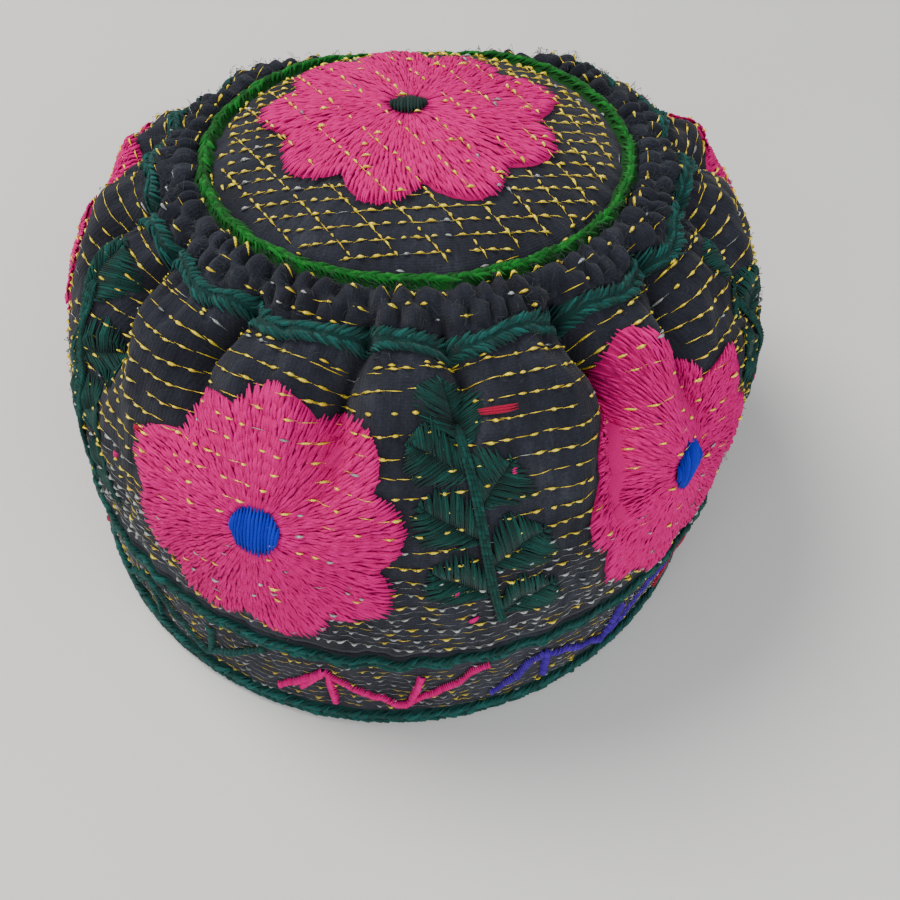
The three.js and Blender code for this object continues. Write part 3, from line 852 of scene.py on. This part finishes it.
# How far along the pitch a link reaches to each side, and its width as a share of a knot's
LINK_REACH, LINK_WIDTH = 0.52, 0.36


def sew_rows(threads, centre, heading, spot, over, is_gold, pitch, width, keep, link_share=0.8):
    """A thin thread along each row, darker as painted shade, and a bright knot at every pitch, save
    where one is missing.
    """
    count = len(centre)
    lift = np.where(over, OVER_LIFT, THREAD_LIFT)
    knot = heading * (pitch * rng.uniform(0.17, 0.34, count))[:, None]
    link = heading * (pitch * LINK_REACH)
    knotted = rng.uniform(0, 1, count) < np.where(over, OVER_KNOTS, keep)
    linked = rng.uniform(0, 1, count) < np.where(over, OVER_LINKS, link_share)
    tint = rng.uniform(0.3, 1, count)
    wide = width * rng.uniform(0.8, 1.35, count)
    for metal, chosen in ((0, is_gold), (1, ~is_gold)):
        k, m = knotted & chosen, linked & chosen
        ends = (centre - knot)[k], (centre + knot)[k]
        threads[metal].sew(spot, *ends, lift[k], 0.3, wide[k], tint[k], steps=4)
        ends = (centre - link)[m], (centre + link)[m]
        # The links take a darker tint than the knots: painted shade on the thin thread that lies
        # low between them.
        thin, painted_shade_tint = width * LINK_WIDTH, tint[m] * 0.7
        threads[metal].sew(spot, *ends, lift[m] - 0.15, 0.15, thin, painted_shade_tint)


def running_rows(threads, arcs, gold_share, pitch, width, keep, link_share):
    """Rows of metal thread round the hat, which show less over the lower petals."""
    for row, arc in enumerate(arcs):
        radius = np.interp(arc, ARCS, CURVE[:, 0])
        count = int(2 * math.pi * radius / pitch)
        place = np.arange(count) + rng.uniform(-0.2, 0.2, count) + 0.5 * (row % 2)
        bearing = place * 360 / count
        level = arc + ripple(WANDER, bearing, arc) + rng.normal(0, 0.1, count)
        share_up = (arc - BAND_ARC) / (GATHER_ARC - BAND_ARC)
        over = wool_over(bearing, level)
        over_share = 0.2 + 0.8 * smoothstep(share_up, 0.35, 0.65)
        shown = ~over | (rng.uniform(0, 1, count) < over_share)
        is_gold = rng.uniform(0, 1, count) < gold_share[row]
        along = np.full(count, np.degrees(1 / radius))
        heading = np.stack([along, rng.normal(0, 0.06, count)], 1)
        centre = np.stack([bearing, level], 1)
        rows = centre[shown], heading[shown], around_spot, over[shown], is_gold[shown]
        sew_rows(threads, *rows, pitch, width, keep, link_share)


# The crown's two sets of rows: tilt, spacing, bend, and the share that goes on over the flower
CROWN_SETS = [(0.03, 4.4, 0.0028, 0.15), (-1.06, 8.2, 0.001, 1.0)]
CROWN_PITCH, CROWN_GOLD = 3.3, 0.93


def crown_rows(threads):
    """Two sets of rows on the crown: one across it, and one that slants over the flower."""
    limit = CROWN_RADIUS - CROWN_BRAID_WIDTH / 2 - 1
    for tilt, spacing, bend, over_share in CROWN_SETS:
        heading = np.array([math.cos(tilt), math.sin(tilt)])
        aside = np.array([-heading[1], heading[0]])
        for offset in np.arange(-limit + 3, limit, spacing):
            along = np.arange(-limit, limit, CROWN_PITCH)
            along = along + rng.uniform(-0.4, 0.4, len(along))
            centre = heading * along[:, None] + aside * (offset + bend * along**2)[:, None]
            over = CROWN_BLOOM.covers(*(centre - CROWN_BLOOM_AT).T)
            inside = np.hypot(centre[:, 0], centre[:, 1]) < limit
            shown = inside & (~over | (rng.uniform(0, 1, len(along)) < over_share))
            is_gold = rng.uniform(0, 1, shown.sum()) < CROWN_GOLD
            directions = np.tile(heading, (shown.sum(), 1))
            rows = centre[shown], directions, crown_spot, over[shown], is_gold
            sew_rows(threads, *rows, CROWN_PITCH, KNOT_WIDTH, 0.85)


# How each group of rows is sewn: pitch and knot width in mm, and the shares of knots and links
SIDE_SEWING = (3.4, KNOT_WIDTH, 0.75, 0.8)
BETWEEN_SEWING = (3.2, 0.15, 0.2, 0.9)
BAND_SEWING = (2.8, 0.16, 0.3, 0.9)
YOKE_SEWING = (3.2, KNOT_WIDTH, 0.3, 0.12)
EDGE_SEWING = (3.6, KNOT_WIDTH, 0.25, 0.1)
SIDE_SPACING, BAND_SPACING = 4.6, 2.3


def make_metal_threads():
    """Rows on the side, finer ones low between them, and rows on the band, yoke and crown."""
    threads = gold, silver = Stitches(), Stitches()
    side = np.arange(BAND_ARC + 4, GATHER_ARC - 4, SIDE_SPACING)
    share_up = (side - BAND_ARC) / (GATHER_ARC - BAND_ARC)
    running_rows(threads, side, 0.15 + 0.77 * smoothstep(share_up, 0.15, 0.5), *SIDE_SEWING)
    between = side[share_up < 0.35] + SIDE_SPACING / 2
    running_rows(threads, between, np.full(len(between), 0.25), *BETWEEN_SEWING)
    band = np.arange(BAND_ROOM[0] - 0.5, BAND_ROOM[1] + 1, BAND_SPACING)
    running_rows(threads, band, np.full(len(band), 0.35), *BAND_SEWING)
    halfway = (GATHER_ARC + CROWN_ARC) / 2
    yoke = np.array([GATHER_ARC - 4.2, GATHER_ARC + 4.8, halfway, CROWN_ARC - 4.4])
    running_rows(threads, yoke, [0.85] * 4, *YOKE_SEWING)
    edge = np.array([CROWN_ARC - 1.6, CROWN_ARC + 1.2, CROWN_ARC + 3.4])
    running_rows(threads, edge, [0.9] * 3, *EDGE_SEWING)
    crown_rows(threads)
    gold.piece("gold_running_stitch", GOLD, "gold_thread")
    silver.piece("silver_running_stitch", SILVER, "silver_thread")


# Stray bits of wool between the motifs: bearing, arc and length in mm, pink or red. Each is three
# stitches, one above the other.
FLECKS = [
    (276.5, 106, 9, RED), (281, 92, 1.6, PINK), (273, 60, 2.0, PINK), (276, 49, 2.6, PINK),
    (221, 84, 3, RED), (216, 70, 2, PINK), (337, 66, 2.4, PINK), (9, 58, 2, RED),
    (118, 74, 3, PINK),
]
FLECK_RISES = np.array([-0.45, 0.1, 0.55])


def make_flecks():
    for material, slot_name in ((PINK, "pink_wool"), (RED, "red_wool")):
        stitches = Stitches()
        for bearing, arc, length, wool in FLECKS:
            if wool is material:
                spot = side_spot(bearing, arc)
                first = np.stack([np.zeros(3), FLECK_RISES], 1)
                last = np.stack([np.full(3, length), FLECK_RISES + 0.3], 1)
                stitches.sew(spot, first, last, 0.5, 0.35, 0.36, [0.4, 0.6, 0.5], steps=9)
        stitches.piece(f"fleck_{slot_name}", material, slot_name)


# Loose fibres

# Where the fibres are, from one arc to another, how many, and how long they are in mm
FUZZ_ZONES = [(GATHER_ARC - 4, CROWN_ARC, 2000, 1.7), (BAND_ARC, GATHER_ARC, 1300, 1.2)]
FIBRE_WIDTH = 0.09


def make_fuzz():
    """Short curved fibres that lie on the cloth at one end and stand off it at the other."""
    stitches = Stitches()
    for low, high, count, length in FUZZ_ZONES:
        bearing, arc = rng.uniform(0, 360, count), rng.uniform(low, high, count)
        radius = np.interp(arc, ARCS, CURVE[:, 0])
        turn, size = rng.uniform(0, 2 * math.pi, count), length * rng.uniform(0.6, 1.8, count)
        t = np.linspace(0, 1, 3)[None, :]
        across = np.degrees(size * np.cos(turn) / radius)[:, None] * t
        arcs = arc[:, None] + (size * np.sin(turn))[:, None] * t
        lift = size[:, None] * np.sin(t * rng.uniform(1.2, 3.0, (count, 1))) * 0.8
        b = bearing[:, None] + across
        normals = normals_at(b, arcs, lift)
        tint = rng.uniform(0, 1, count)
        points = on_cloth(b, arcs, lift)
        stitches.add_strands(points, normals, FIBRE_WIDTH, FIBRE_WIDTH, tint)
    stitches.piece("cloth_fuzz", FUZZ, "cloth")


# The room

# The camera as solved from the photograph's view of the rim: its place from the hat's axis, in mm,
# and which way its right and its top point
CAMERA_PLACE = np.array([0.0, -228.8, 301.5])
CAMERA_RIGHT = Vector((0.99797562, -0.06308579, 0.0080527))
CAMERA_UP = Vector((0.04574544, 0.80002378, 0.59822179))
CAMERA_LENS, CAMERA_SENSOR = 46.0, 36.0


def make_camera():
    data = bpy.data.cameras.new("camera")
    data.lens, data.sensor_width = CAMERA_LENS, CAMERA_SENSOR
    data.clip_start, data.clip_end = 0.01, 20
    camera = bpy.data.objects.new("camera", data)
    place = Vector((CAMERA_PLACE + AXIS) * MM)
    right = CAMERA_RIGHT.normalized()
    back = right.cross(CAMERA_UP).normalized()
    up = back.cross(right)
    turned = Matrix((right, up, back)).transposed().to_4x4()
    camera.matrix_world = Matrix.Translation(place) @ turned
    bpy.context.scene.collection.objects.link(camera)
    bpy.context.scene.camera = camera


# What the lights point at, and half the floor's side, in metres
LIT_SPOT, FLOOR_HALF = (0, 0, 0.06), 4.0


def make_light(name, place, size, energy, colour):
    data = bpy.data.lights.new(name, "AREA")
    data.shape, data.size, data.energy, data.color = "DISK", size, energy, colour
    light = bpy.data.objects.new(name, data)
    light.location = place
    heading = Vector(LIT_SPOT) - Vector(place)
    light.rotation_euler = heading.to_track_quat("-Z", "Y").to_euler()
    bpy.context.scene.collection.objects.link(light)


def make_room():
    corners = [(x * FLOOR_HALF, y * FLOOR_HALF, 0) for x, y in ((-1, -1), (1, -1), (1, 1), (-1, 1))]
    mesh = bpy.data.meshes.new("floor")
    mesh.from_pydata(corners, [], [(0, 1, 2, 3)])
    mesh.materials.append(floor_material())
    floor = bpy.data.objects.new("floor", mesh)
    bpy.context.scene.collection.objects.link(floor)
    make_light("key_light", (-0.55, 0.35, 1.15), 0.7, 17, (1.0, 0.98, 0.95))
    make_light("fill_light", (0.7, -0.9, 0.8), 0.9, 8, (0.95, 0.97, 1.0))
    make_light("front_light", (-0.5, -1.0, 0.6), 0.8, 5, (1.0, 0.99, 0.98))
    world = bpy.data.worlds.new("studio")
    world.use_nodes = True
    background = world.node_tree.nodes["Background"]
    background.inputs["Color"].default_value = (0.93, 0.96, 1.0, 1)
    background.inputs["Strength"].default_value = 0.45
    bpy.context.scene.world = world


make_camera()
make_room()
make_cloth()
make_braids()
make_flowers()
make_sprays()
make_vines()
make_metal_threads()
make_flecks()
make_fuzz()
